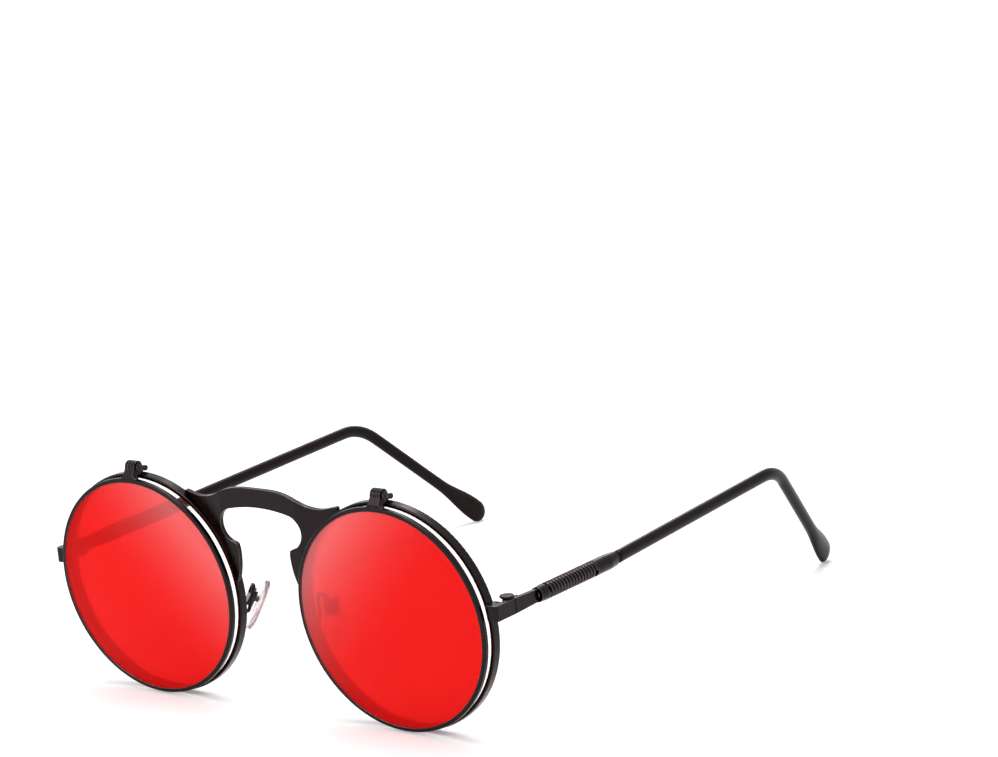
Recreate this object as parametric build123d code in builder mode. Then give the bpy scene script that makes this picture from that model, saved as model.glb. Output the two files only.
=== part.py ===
"""Round metal glasses with a tinted pair of lenses that flips up on a hinge over each clear lens.

The glasses stand on a table (z = 0) on the two clear rims and on the tips of the ear sleeves.
X runs across the face, the front looks along -Y, and the temples run back along +Y.
Left and right are the wearer's: the left side has positive X.
"""

from math import atan2, cos, pi, radians, sin, sqrt, tan

import os

from build123d import *

# ---- Front: two eyewires side by side, leaning forward at the top -------------------------------
rim_spacing = 72.3        # between the centres of the two lenses
front_lean = 3.7          # degrees that the top of the front leans forward
wire_round = 0.30         # rounding on the outer corners of both eyewires
lens_fit = 0.03           # slack of a lens in its groove

clear_outer = 26.4        # radius over the fixed eyewire
clear_band = 0.85         # radial thickness of the fixed eyewire
clear_depth = 2.3         # front to back
clear_front = 2.5         # how far the fixed eyewire stands behind the flip eyewire's face
clear_groove = 0.40       # depth of the lens groove
clear_lens_thickness = 1.6

rim_step = 0.45           # how much smaller the flip eyewire is
flip_band = 0.95
flip_depth = 1.25
flip_groove = 0.42
flip_lens_thickness = 0.95

lens_curve = 260.0        # radius of the front of both lenses

# ---- Bridge: one stamped plate with a keyhole ---------------------------------------------------
bridge_thickness = 1.0
bridge_front = 2.35       # its middle, behind the flip eyewire's face
bridge_sweep = 1.25       # how far each wing bends back
bridge_bar = 1.25         # the flat middle ends this far beyond the eyewires' nose side
bridge_top = 26.1         # top of the bar above the lens centres
bridge_under = 21.7       # underside of the bar
wing_reach = 12.7         # outer end of a wing, beyond the eyewire's nose side
wing_height = 23.55
wing_tip = 0.35           # rounding of a wing's upper corner
keyhole_radius = 4.1      # the two round lobes of the keyhole
keyhole_inset = 2.0       # the lobes' centres stand this far inside the eyewires' nose side
keyhole_height = 16.75    # and this far above the lens centres
leg_width = 2.15
leg_bottom = 3.2          # where a leg ends on the eyewire

# ---- End pieces and temple hinges ---------------------------------------------------------------
bar_reach = 2.05          # middle of the temple bar beyond the side of the eyewire
bar_height = 3.45
bar_thickness = 1.0
bar_rise = 4.3            # middle of the end piece above the lens centres
end_front = 1.2           # front of the end piece, behind the flip eyewire's face
end_depth = 1.9           # thickness of the end piece across the eyewire
joint_back = 7.7          # where the end piece stops
joint_gap = 0.08          # between the end piece and the temple bar
bend_radius = 0.7         # outside of the end piece's corner
joint_round = 0.25        # rounding where the end piece and the temple bar meet
barrel_radius = 1.1
barrel_gap = 0.05         # between moving hinge faces
barrel_lift = 0.1         # the top barrel stands above the bar
hinge_leaf = 0.5          # thickness of the leaves
hinge_leaf_length = 2.3
screw_radius = 0.5
screw_fit = 0.04
screw_head_radius = 1.6
screw_head_height = 0.45
slot_width = 0.3
slot_depth = 0.22

# ---- Rim locks: two blocks and a screw that close each fixed eyewire -----------------------------
lock_width = 1.7
lock_depth = 1.6
lock_gap = 0.25           # the slot through the eyewire, between the blocks
lock_screw_radius = 0.42
lock_head_radius = 0.65
lock_head_height = 0.45

# ---- Temples ------------------------------------------------------------------------------------
bow_angle = 1.4           # degrees that the front stretch runs outward
climb_angle = 0.6         # and upward
bar_length = 8.0          # flat bar up to the front ferrule
bar_end_height = 2.8
sleeve_width = 3.7        # over the ferrule, coil and collar
sleeve_height = 3.7
ferrule_length = 2.2
ferrule_step = 0.15       # how much its front edge is drawn in
ferrule_mouth = 1.2       # depth of the open mouth round the bar
core_width = 1.5          # core of the temple inside the coil
core_height = 1.5
core_fit = 0.04
coil_length = 17.5
coil_wire = 0.62
coil_turns = 16.0
collar_length = 5.1
collar_taper = 2.7
groove_length = 0.3       # dark joint between the collar and the ear sleeve
ear_width = 2.6
ear_height = 3.0
# Where the two straight stretches of an ear sleeve would meet, and where its middle line ends:
# inward from the temple bar, behind the front's face, and above the bar or the table.
ear_corner = (0.85, 111.0, 2.65)
ear_end = (11.15, 145.0, 1.0)
ear_bend = 14.0
wire_radius = 0.65        # core wire inside the ear sleeve
wire_stop = 14.0          # the core wire ends this far before the tip
paddle_length = 17.0
paddle_height = 5.8
paddle_width = 2.2

# ---- Flip hinges --------------------------------------------------------------------------------
flip_axis_rise = 1.8      # above the top of the fixed eyewire
flip_axis_back = 2.45     # behind the flip eyewire's face
flip_barrel_radius = 1.45
flip_barrel_width = 2.7   # over the three knuckles
knuckle_gap = 0.06
flip_screw_radius = 0.4
flip_head_radius = 0.95
flip_head_height = 0.3
flip_leaf_foot = 4.6      # width of the flared foot of the leaf
foot_back = 3.9           # back of the base's foot, behind the flip eyewire's face
nub_radius = 0.65         # rounded nub behind the base
nub_centre = (4.95, 0.75) # behind the flip eyewire's face, above the fixed eyewire

# ---- Nose pads ----------------------------------------------------------------------------------
pad_length = 12.6
pad_width = 7.2
pad_thickness = 1.7
# Places here are outward from the eyewire's nose side, above the lens centres, and backward.
pad_centre = (1.3, -5.1, 9.4)
pad_slope = (0.36, -0.85, -0.38)    # the way of the long axis, from top to bottom
pad_facing = (0.62, 0.41, -0.66)    # roughly the side away from the nose
arm_radius = 0.42
arm_root = (0.92, -5.0)            # where the arm leaves the back of the eyewire
arm_bends = ((0.92, -5.0, 5.8), (-0.35, 0.4, 7.3), (0.75, 0.4, 8.1))
arm_round = 0.6
yoke_length = 3.6
yoke_cheek = 0.7
yoke_floor = 0.45
yoke_height = 1.5
lug_rise = 1.3                     # the lug sits this far above the pad's middle
lug_width = 1.9
lug_depth = 0.8                    # how deep the lug sits in the pad
lug_clear = 0.1                    # between the lug's round end and the yoke's floor
pad_gap = 0.65                     # between the pad and its yoke
pad_screw_radius = 0.3

# ---- Derived places -----------------------------------------------------------------------------
lens_x = rim_spacing / 2
nose_side = lens_x - clear_outer
bar_x = lens_x + clear_outer + bar_reach
flip_outer = clear_outer - rim_step
flip_axis_height = clear_outer + flip_axis_rise
lean_cos = cos(radians(front_lean))
lean_sin = sin(radians(front_lean))
rim_z = (clear_outer - wire_round) * lean_cos + wire_round - (clear_front + wire_round) * lean_sin
bar_z = rim_z + bar_rise
corner_z = bar_z + ear_corner[2]
leg_slope = sin(atan2(corner_z - ear_end[2], ear_end[1] - ear_corner[1]))
tip_overhang = 0.25 * paddle_height * leg_slope   # reach of the tip behind its middle line
front_y = -(ear_end[1] + tip_overhang - (flip_outer - wire_round) * lean_sin) / 2
bar_inner = bar_x - bar_thickness / 2
pivot_x = bar_inner - barrel_radius - barrel_gap
pivot_y = front_y + joint_back + joint_gap / 2
os.makedirs("parts", exist_ok=True)

FRONT = Plane(
    origin=(0, front_y, rim_z),
    x_dir=(1, 0, 0),
    z_dir=(0, -lean_cos, -lean_sin),
)
UP = FRONT.y_dir
BACK = Vector(0, lean_cos, lean_sin)


def front_point(x, height, back):
    """A point given across, above the lens centres and behind the flip eyewires' face."""
    return FRONT.from_local_coords(Vector(x, height, -back))


def by_nose(x, height, back):
    """The same, with x counted outward from the nose side of the left fixed eyewire."""
    return front_point(nose_side + x, height, back)


def radial_plane(x):
    """A plane through a lens axis: first coordinate outward, second one backward."""
    return Plane(origin=front_point(x, 0, 0), x_dir=(1, 0, 0), z_dir=UP)


def side_plane(x):
    """A plane square to X: first coordinate backward, second one up the front."""
    return Plane(origin=front_point(x, 0, 0), x_dir=BACK, z_dir=(1, 0, 0))


def save(piece, name):
    piece.part.label = name
    export_step(piece.part, f"parts/{name}.step")


def save_pair(left, name):
    """Writes a left piece and its mirror image."""
    with BuildPart() as right:
        mirror(left.part, about=Plane.YZ)
    save(left, f"{name}_left")
    save(right, f"{name}_right")


# ---- Eyewires and lenses ------------------------------------------------------------------------
def eyewire(front, outer, band, depth, groove):
    """A ring of formed wire with a V groove for the lens."""
    inner = outer - band
    middle = front + depth / 2
    with BuildPart() as wire:
        with BuildSketch(radial_plane(lens_x)):
            with BuildLine():
                Polyline(
                    (inner, front),
                    (outer, front),
                    (outer, front + depth),
                    (inner, front + depth),
                    (inner, middle + groove),
                    (inner + groove, middle),
                    (inner, middle - groove),
                    close=True,
                )
            corners = make_face().vertices().group_by(Axis.X)[-1]
            fillet(corners, radius=wire_round)
        revolve(axis=Axis(front_point(lens_x, 0, 0), BACK))
    return wire


def lens(front, inner, depth, groove, thickness):
    """A slightly domed lens, cut from two spheres, with a V edge that fits the groove."""
    edge = inner - lens_fit
    middle = front + depth / 2
    dome = lens_curve - sqrt(lens_curve**2 - edge**2)
    near = middle - thickness / 2 - dome
    far = near + thickness
    ridge = min(groove, thickness / 2)
    with BuildPart() as glass:
        with BuildSketch(radial_plane(lens_x)):
            with BuildLine():
                Polyline(
                    (0, near - 1),
                    (edge, near - 1),
                    (edge, middle - ridge),
                    (edge + ridge, middle),
                    (edge, middle + ridge),
                    (edge, far + dome + 1),
                    (0, far + dome + 1),
                    close=True,
                )
            make_face()
        revolve(axis=Axis(front_point(lens_x, 0, 0), BACK))
        with Locations(front_point(lens_x, 0, near + lens_curve)):
            Sphere(lens_curve, mode=Mode.INTERSECT)
        with Locations(front_point(lens_x, 0, far + lens_curve)):
            Sphere(lens_curve, mode=Mode.SUBTRACT)
    return glass


def rim_solid():
    """The space that the fixed eyewire and its lens take, used to fit pieces against the eyewire."""
    with BuildPart() as space:
        with BuildSketch(FRONT.offset(2)):
            with Locations((lens_x, 0)):
                Circle(clear_outer)
        extrude(amount=-12)
    return space.part


rim_space = rim_solid()

whole_rim = eyewire(clear_front, clear_outer, clear_band, clear_depth, clear_groove)
with BuildPart() as clear_rim:
    add(whole_rim.part)
    with BuildSketch(FRONT.offset(-clear_front - clear_depth - 1)):
        with Locations((lens_x + clear_outer, bar_rise)):
            Rectangle(4 * clear_band, lock_gap)
    extrude(amount=clear_depth + 2, mode=Mode.SUBTRACT)
save_pair(clear_rim, "clear_rim")

clear_lens = lens(
    clear_front, clear_outer - clear_band, clear_depth, clear_groove, clear_lens_thickness
)
save_pair(clear_lens, "clear_lens")

flip_rim = eyewire(0, flip_outer, flip_band, flip_depth, flip_groove)
save_pair(flip_rim, "flip_rim")

tinted_lens = lens(0, flip_outer - flip_band, flip_depth, flip_groove, flip_lens_thickness)
save_pair(tinted_lens, "tinted_lens")


# ---- Bridge plate -------------------------------------------------------------------------------
def on_rim(height, radius):
    """The point of the left eyewire's circle nearest the nose at a height."""
    return (lens_x - sqrt(radius**2 - height**2), height)


lobe_x = nose_side - keyhole_inset
lobe_h = keyhole_height
leg_x = nose_side - leg_width
wing_x = nose_side + wing_reach
bar_end = nose_side + bridge_bar
lobe_low = (leg_x + 1.0, lobe_h - sqrt(keyhole_radius**2 - (leg_x + 1.0 - lobe_x) ** 2))
lobe_high = (lobe_x + 1.3, lobe_h + sqrt(keyhole_radius**2 - 1.3**2))
with BuildPart() as bridge_plate:
    with BuildSketch(FRONT.offset(2)) as outline:
        with BuildLine():
            Spline(
                (0, bridge_top),
                (nose_side - 0.25, bridge_top - 1.0),
                (nose_side + 4.25, wing_height - 0.3),
                (nose_side + 8.75, wing_height - 0.75),
                (wing_x - wing_tip, wing_height),
                tangents=((1, 0), (1, 0.15)),
            )
            ThreePointArc(
                (wing_x - wing_tip, wing_height),
                (wing_x - 0.3 * wing_tip, wing_height - 0.3 * wing_tip),
                (wing_x, wing_height - wing_tip),
            )
            Polyline((wing_x, wing_height - wing_tip), (wing_x, leg_bottom), (leg_x + 1.7, leg_bottom))
            Spline(
                (leg_x + 1.7, leg_bottom),
                (leg_x + 0.6, leg_bottom + 2.9),
                (leg_x, lobe_low[1] - 1.6),
                tangents=((-0.5, 1), (0, 1)),
            )
            Line((leg_x, lobe_low[1] - 1.6), (leg_x + 0.25, lobe_low[1] - 0.4))
            Line((leg_x + 0.25, lobe_low[1] - 0.4), lobe_low)
            ThreePointArc(lobe_low, (lobe_x + keyhole_radius, lobe_h), lobe_high)
            ThreePointArc(lobe_high, (0.53 * nose_side, bridge_under - 0.35), (0, bridge_under))
            Line((0, bridge_under), (0, bridge_top))
        make_face()
        mirror(about=Plane.YZ)
    extrude(amount=-12)
    beyond = wing_x + 2
    sweep_back = bridge_front + bridge_sweep * (beyond - bar_end) / (wing_x - bar_end)
    with BuildSketch(radial_plane(0)):
        with BuildLine():
            Polyline(
                (-beyond, sweep_back),
                (-bar_end, bridge_front),
                (bar_end, bridge_front),
                (beyond, sweep_back),
                (beyond, sweep_back + bridge_thickness),
                (bar_end, bridge_front + bridge_thickness),
                (-bar_end, bridge_front + bridge_thickness),
                (-beyond, sweep_back + bridge_thickness),
                close=True,
            )
        make_face()
    extrude(amount=2 * bridge_top, both=True, mode=Mode.INTERSECT)
    add(rim_space, mode=Mode.SUBTRACT)
    add(mirror(rim_space, about=Plane.YZ, mode=Mode.PRIVATE), mode=Mode.SUBTRACT)
save(bridge_plate, "bridge_plate")


# ---- End pieces ---------------------------------------------------------------------------------
BAR = Plane(origin=(0, front_y, bar_z))
bar_outer = bar_x + bar_thickness / 2
end_back = end_front + end_depth
end_inner = lens_x + clear_outer - 1.2
with BuildPart() as end_piece:
    with BuildSketch(BAR.offset(-bar_height / 2)):
        with BuildLine():
            Polyline(
                (end_inner, end_front),
                (bar_outer, end_front),
                (bar_outer, joint_back),
                (bar_inner, joint_back),
                (bar_inner, end_back),
                (end_inner, end_back),
                close=True,
            )
        strip = make_face()
        fillet(strip.vertices().sort_by_distance((bar_outer, end_front))[0], radius=bend_radius)
        fillet(strip.vertices().sort_by_distance((bar_outer, joint_back))[0], radius=joint_round)
    extrude(amount=bar_height)
    add(rim_space, mode=Mode.SUBTRACT)
save_pair(end_piece, "end_piece")


# ---- Rim locks ----------------------------------------------------------------------------------
lock_x = bar_inner - lock_width / 2
lock_y = end_back + lock_depth / 2

def lock_half(foot):
    """One block of a rim lock; the pair is drawn together by the rim screw."""
    with BuildPart() as block:
        with BuildSketch(BAR.offset(foot)):
            with Locations((lock_x - lock_width / 2, lock_y)):
                Rectangle(2 * lock_width, lock_depth)
        extrude(amount=(bar_height - lock_gap) / 2)
        add(rim_space, mode=Mode.SUBTRACT)
        with BuildSketch(BAR.offset(foot)):
            with Locations((lock_x, lock_y)):
                Circle(lock_screw_radius + screw_fit)
        extrude(amount=bar_height, mode=Mode.SUBTRACT)
    return block


save_pair(lock_half(lock_gap / 2), "lock_upper")
save_pair(lock_half(-bar_height / 2), "lock_lower")

with BuildPart() as rim_screw:
    with BuildSketch(BAR.offset(-bar_height / 2)):
        with Locations((lock_x, lock_y)):
            Circle(lock_screw_radius)
    extrude(amount=bar_height - 0.2)
    with BuildSketch(BAR.offset(-bar_height / 2)):
        with Locations((lock_x, lock_y)):
            Circle(lock_head_radius)
    extrude(amount=-lock_head_height)
    with BuildSketch(BAR.offset(-bar_height / 2 - lock_head_height)):
        with Locations((lock_x, lock_y)):
            Rectangle(3 * lock_head_radius, slot_width)
    extrude(amount=slot_depth, mode=Mode.SUBTRACT)
save_pair(rim_screw, "rim_screw")


# ---- Temple hinges ------------------------------------------------------------------------------
PIVOT = Plane(origin=(pivot_x, pivot_y, bar_z))
knuckle = (bar_height - 2 * barrel_gap) / 3
low_barrel = (-bar_height / 2, knuckle)
middle_barrel = (-knuckle / 2, knuckle)
high_barrel = (knuckle / 2 + barrel_gap, knuckle + barrel_lift)
leaf_far = bar_inner - pivot_x
leaf_near = leaf_far - hinge_leaf


def hinge_half(direction, own_barrels, other_barrels):
    """A hinge leaf that lies on the bar's inner face and carries some of the barrels."""
    with BuildPart() as half:
        with BuildSketch(PIVOT.offset(-bar_height / 2)):
            with Locations((leaf_near, direction * joint_gap)):
                side = Align.MIN if direction > 0 else Align.MAX
                Rectangle(hinge_leaf, hinge_leaf_length, align=(Align.MIN, side))
        extrude(amount=bar_height)
        for foot, height in other_barrels:
            with BuildSketch(PIVOT.offset(foot - barrel_gap)):
                Circle(barrel_radius + barrel_gap)
            extrude(amount=height + 2 * barrel_gap, mode=Mode.SUBTRACT)
        for foot, height in own_barrels:
            with BuildSketch(PIVOT.offset(foot)):
                Circle(barrel_radius)
            extrude(amount=height)
        with BuildSketch(PIVOT.offset(-bar_height)):
            Circle(screw_radius + screw_fit)
        extrude(amount=2 * bar_height, mode=Mode.SUBTRACT)
    return half


save_pair(hinge_half(-1, (low_barrel, high_barrel), (middle_barrel,)), "hinge_front")
save_pair(hinge_half(1, (middle_barrel,), (low_barrel, high_barrel)), "hinge_rear")

head_foot = high_barrel[0] + high_barrel[1]
with BuildPart() as hinge_screw:
    with BuildSketch(PIVOT.offset(-bar_height / 2)):
        Circle(screw_radius)
    extrude(amount=bar_height / 2 + head_foot)
    with BuildSketch(PIVOT.offset(head_foot)):
        Circle(screw_head_radius)
    extrude(amount=screw_head_height)
    rim_edge = hinge_screw.edges().group_by(Axis.Z)[-1]
    fillet(rim_edge, radius=0.2)
    with BuildSketch(PIVOT.offset(head_foot + screw_head_height)):
        Rectangle(3 * screw_head_radius, slot_width, rotation=35)
    extrude(amount=-slot_depth, mode=Mode.SUBTRACT)
save_pair(hinge_screw, "hinge_screw")


# ---- Temples ------------------------------------------------------------------------------------
TEMPLE = Plane(
    origin=(bar_x, front_y + joint_back + joint_gap, bar_z),
    x_dir=(cos(radians(bow_angle)), -sin(radians(bow_angle)), 0),
    z_dir=(sin(radians(bow_angle)), cos(radians(bow_angle)), tan(radians(climb_angle))),
)
coil_start = bar_length + ferrule_length
collar_start = coil_start + coil_length
collar_end = collar_start + collar_length + collar_taper
ear_start = collar_end + groove_length
ear_root = TEMPLE.offset(ear_start).origin
ear_turn = Vector(bar_x - ear_corner[0], front_y + ear_corner[1], corner_z)
ear_tip = Vector(bar_x - ear_end[0], front_y + ear_end[1], ear_end[2])
leg = (ear_tip - ear_turn).normalized()


def ear_path(stop):
    """The ear sleeve's middle line, up to a distance before its end."""
    with BuildLine() as path:
        FilletPolyline(ear_root, ear_turn, ear_tip - leg * stop, radius=ear_bend)
    return path.wire()


def leg_plane(before_end):
    """A section of the lower stretch, its first coordinate across the paddle's face."""
    return Plane(origin=ear_tip - leg * before_end, x_dir=(leg.cross(Vector(1, 0, 0))), z_dir=leg)


ear_line = ear_path(paddle_length)
ear_section = Plane(origin=ear_root, x_dir=(1, 0, 0), z_dir=ear_line.tangent_at(0))
core_line = ear_path(wire_stop)

with BuildPart() as temple_bar:
    with BuildSketch(TEMPLE):
        Rectangle(bar_thickness, bar_height)
    with BuildSketch(TEMPLE.offset(bar_length)):
        Rectangle(bar_thickness, bar_end_height)
    loft()
    front_corner = TEMPLE.from_local_coords(Vector(bar_thickness / 2, 0, 0))
    fillet(temple_bar.edges().sort_by_distance(front_corner)[0], radius=joint_round)
    with BuildSketch(TEMPLE.offset(bar_length)):
        Rectangle(bar_thickness, bar_end_height)
    extrude(amount=ferrule_mouth - 0.1)
    with BuildSketch(TEMPLE.offset(bar_length)):
        Ellipse(core_width / 2, core_height / 2)
    extrude(amount=collar_end - bar_length)
    with BuildSketch(TEMPLE.offset(collar_end - 0.5)):
        Circle(wire_radius)
    extrude(amount=groove_length + 0.5)
    with BuildSketch(ear_section):
        Circle(wire_radius)
    sweep(path=core_line)
save_pair(temple_bar, "temple_bar")

mouth_radius = sqrt(bar_thickness**2 + bar_end_height**2) / 2 + core_fit
with BuildPart() as front_ferrule:
    with BuildSketch(TEMPLE.offset(bar_length)):
        Ellipse(sleeve_width / 2 - ferrule_step, sleeve_height / 2 - ferrule_step)
    with BuildSketch(TEMPLE.offset(coil_start)):
        Ellipse(sleeve_width / 2, sleeve_height / 2)
    loft()
    with BuildSketch(TEMPLE.offset(bar_length)):
        Circle(mouth_radius)
    extrude(amount=ferrule_mouth, mode=Mode.SUBTRACT)
    with BuildSketch(TEMPLE.offset(bar_length)):
        Ellipse(core_width / 2 + core_fit, core_height / 2 + core_fit)
    extrude(amount=ferrule_length, mode=Mode.SUBTRACT)
save_pair(front_ferrule, "front_ferrule")

# The coil is one wire on an oval helix, drawn as two arcs for each quarter of a turn.
coil_a = (sleeve_width - coil_wire) / 2
coil_b = (sleeve_height - coil_wire) / 2
coil_seat = coil_wire / 2 + 0.08
coil_pitch = (coil_length - 2 * coil_seat) / coil_turns


def coil_point(turn):
    angle = 2 * pi * turn
    place = Vector(coil_a * cos(angle), coil_b * sin(angle), coil_start + coil_seat + coil_pitch * turn)
    return TEMPLE.from_local_coords(place)


def coil_heading(turn):
    angle = 2 * pi * turn
    way = Vector(-coil_a * sin(angle), coil_b * cos(angle), coil_pitch / (2 * pi))
    ahead = TEMPLE.from_local_coords(way) - TEMPLE.origin
    return ahead.normalized()


def arc_pair(start, start_way, end, end_way):
    """Two arcs that leave one point and reach another in given directions and meet smoothly."""
    span = end - start
    ways = start_way + end_way
    a = 2 * (start_way.dot(end_way) - 1)
    b = -2 * span.dot(ways)
    c = span.dot(span)
    reach = (-b - sqrt(b * b - 4 * a * c)) / (2 * a)
    first = start + start_way * reach
    last = end - end_way * reach
    return (first + last) / 2, (last - first).normalized()


quarters = [step / 4 for step in range(int(4 * coil_turns) + 1)]
with BuildPart() as temple_spring:
    with BuildLine() as coil_line:
        for here, there in zip(quarters, quarters[1:]):
            meet, meet_way = arc_pair(
                coil_point(here), coil_heading(here), coil_point(there), coil_heading(there)
            )
            TangentArc(coil_point(here), meet, tangent=coil_heading(here))
            TangentArc(meet, coil_point(there), tangent=meet_way)
    with BuildSketch(Plane(origin=coil_point(0), z_dir=coil_heading(0))):
        Circle(coil_wire / 2)
    sweep(path=coil_line.wire())
save_pair(temple_spring, "temple_spring")
samples = [coil_line.wire().position_at(step / 1200) for step in range(1201)]
per_turn = 1200 / coil_turns
coil_gap = min(
    (samples[i] - samples[j]).length
    for i in range(0, 1201, 4)
    for j in range(i + int(0.6 * per_turn), min(1201, i + int(1.5 * per_turn)), 2)
) - coil_wire
print("least gap between turns of the coil", round(coil_gap, 3))

with BuildPart() as rear_collar:
    with BuildSketch(TEMPLE.offset(collar_start)):
        Ellipse(sleeve_width / 2, sleeve_height / 2)
    with BuildSketch(TEMPLE.offset(collar_start + collar_length)):
        Ellipse(sleeve_width / 2, sleeve_height / 2)
    with BuildSketch(TEMPLE.offset(collar_end)):
        Ellipse(ear_width / 2 + 0.15, ear_height / 2 + 0.2)
    loft(ruled=True)
    with BuildSketch(TEMPLE.offset(collar_start)):
        Ellipse(core_width / 2 + core_fit, core_height / 2 + core_fit)
    extrude(amount=collar_end - collar_start, mode=Mode.SUBTRACT)
save_pair(rear_collar, "rear_collar")

with BuildPart() as ear_sleeve:
    with BuildSketch(ear_section):
        Ellipse(ear_width / 2, ear_height / 2)
    sweep(path=ear_line)
    paddle = ((1.0, ear_width, ear_height), (0.62, 0.95 * ear_width, 0.78 * paddle_height))
    paddle += ((0.3, paddle_width, paddle_height), (0.09, 0.9 * paddle_width, 0.84 * paddle_height))
    paddle += ((0.0, 0.5 * paddle_width, 0.5 * paddle_height),)
    for share, width, height in paddle:
        with BuildSketch(leg_plane(share * paddle_length)):
            Ellipse(height / 2, width / 2)
    loft()
    with BuildSketch(ear_section):
        Circle(wire_radius + core_fit)
    sweep(path=core_line, mode=Mode.SUBTRACT)
    split(bisect_by=Plane.XY, keep=Keep.TOP)
save_pair(ear_sleeve, "ear_sleeve")


# ---- Flip hinges --------------------------------------------------------------------------------
outer_knuckle = (flip_barrel_width - 2 * knuckle_gap) / 3
knuckle_starts = (-flip_barrel_width / 2, -outer_knuckle / 2, flip_barrel_width / 2 - outer_knuckle)
axle = (flip_axis_back, flip_axis_height)
nub = (nub_centre[0], clear_outer + nub_centre[1])


def flip_ring_space():
    with BuildPart() as space:
        with BuildSketch(FRONT.offset(4)):
            with Locations((lens_x, 0)):
                Circle(flip_outer)
        extrude(amount=-12)
    return space.part


flip_space = flip_ring_space()

with BuildPart() as flip_leaf:
    with BuildSketch(side_plane(lens_x - flip_leaf_foot / 2)):
        with BuildLine():
            Polyline(
                (0.1, flip_outer - 1.5),
                (0.1, flip_outer + 0.7),
                (flip_axis_back - flip_barrel_radius, flip_axis_height),
                axle,
                (flip_axis_back, flip_axis_height - flip_barrel_radius),
                (flip_depth - 0.05, flip_outer + 0.45),
                (flip_depth - 0.05, flip_outer - 1.5),
                close=True,
            )
        make_face()
    extrude(amount=flip_leaf_foot)
    with BuildSketch(FRONT.offset(2)):
        with BuildLine():
            half = flip_barrel_width / 2
            foot = flip_leaf_foot / 2
            low = flip_outer - 1.6
            Polyline((lens_x - foot, low), (lens_x - foot, flip_outer + 0.05))
            ThreePointArc(
                (lens_x - foot, flip_outer + 0.05),
                (lens_x - half - 0.25, flip_outer + 0.65),
                (lens_x - half, flip_outer + 1.6),
            )
            Polyline(
                (lens_x - half, flip_outer + 1.6),
                (lens_x - half, flip_outer + 6),
                (lens_x + half, flip_outer + 6),
                (lens_x + half, flip_outer + 1.6),
            )
            ThreePointArc(
                (lens_x + half, flip_outer + 1.6),
                (lens_x + half + 0.25, flip_outer + 0.65),
                (lens_x + foot, flip_outer + 0.05),
            )
            Polyline((lens_x + foot, flip_outer + 0.05), (lens_x + foot, low), (lens_x - foot, low))
        make_face()
    extrude(amount=-12, mode=Mode.INTERSECT)
    for start in (knuckle_starts[0], knuckle_starts[2]):
        with BuildSketch(side_plane(lens_x + start)):
            with Locations(axle):
                Circle(flip_barrel_radius)
        extrude(amount=outer_knuckle)
    with BuildSketch(side_plane(lens_x + knuckle_starts[1] - knuckle_gap)):
        with Locations(axle):
            Circle(flip_barrel_radius + knuckle_gap)
    extrude(amount=outer_knuckle + 2 * knuckle_gap, mode=Mode.SUBTRACT)
    with BuildSketch(side_plane(lens_x - flip_barrel_width)):
        with Locations(axle):
            Circle(flip_screw_radius + screw_fit)
    extrude(amount=2 * flip_barrel_width, mode=Mode.SUBTRACT)
    add(flip_space, mode=Mode.SUBTRACT)
save_pair(flip_leaf, "flip_leaf")

with BuildPart() as flip_base:
    with BuildSketch(side_plane(lens_x - flip_barrel_width / 2)):
        with BuildLine():
            Polyline(
                (clear_front + 0.1, clear_outer - 1),
                (clear_front + 0.1, clear_outer + 0.25),
                axle,
                (nub[0], nub[1] + nub_radius),
                nub,
                (foot_back, nub[1] - 0.6 * nub_radius),
                (foot_back, clear_outer - 1),
                close=True,
            )
        make_face()
        with Locations(nub):
            Circle(nub_radius)
    extrude(amount=flip_barrel_width)
    for start in (knuckle_starts[0], knuckle_starts[2]):
        with BuildSketch(side_plane(lens_x + start - knuckle_gap)):
            with Locations(axle):
                Circle(flip_barrel_radius + knuckle_gap)
        extrude(amount=outer_knuckle + 2 * knuckle_gap, mode=Mode.SUBTRACT)
    with BuildSketch(side_plane(lens_x + knuckle_starts[1])):
        with Locations(axle):
            Circle(flip_barrel_radius)
    extrude(amount=outer_knuckle)
    with BuildSketch(side_plane(lens_x - flip_barrel_width)):
        with Locations(axle):
            Circle(flip_screw_radius + screw_fit)
    extrude(amount=2 * flip_barrel_width, mode=Mode.SUBTRACT)
    add(rim_space, mode=Mode.SUBTRACT)
save_pair(flip_base, "flip_base")


def flip_screw(x):
    """The axle of a flip hinge; its head is on the +X side of both hinges."""
    with BuildPart() as screw:
        with BuildSketch(side_plane(x - flip_barrel_width / 2)):
            with Locations(axle):
                Circle(flip_screw_radius)
        extrude(amount=flip_barrel_width)
        with BuildSketch(side_plane(x + flip_barrel_width / 2)):
            with Locations(axle):
                Circle(flip_head_radius)
        extrude(amount=flip_head_height)
        with BuildSketch(side_plane(x + flip_barrel_width / 2 + flip_head_height)):
            with Locations(axle):
                Rectangle(slot_width / 2, 3 * flip_head_radius, rotation=20)
        extrude(amount=-slot_depth / 2, mode=Mode.SUBTRACT)
    return screw


save(flip_screw(lens_x), "flip_screw_left")
save(flip_screw(-lens_x), "flip_screw_right")


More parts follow.
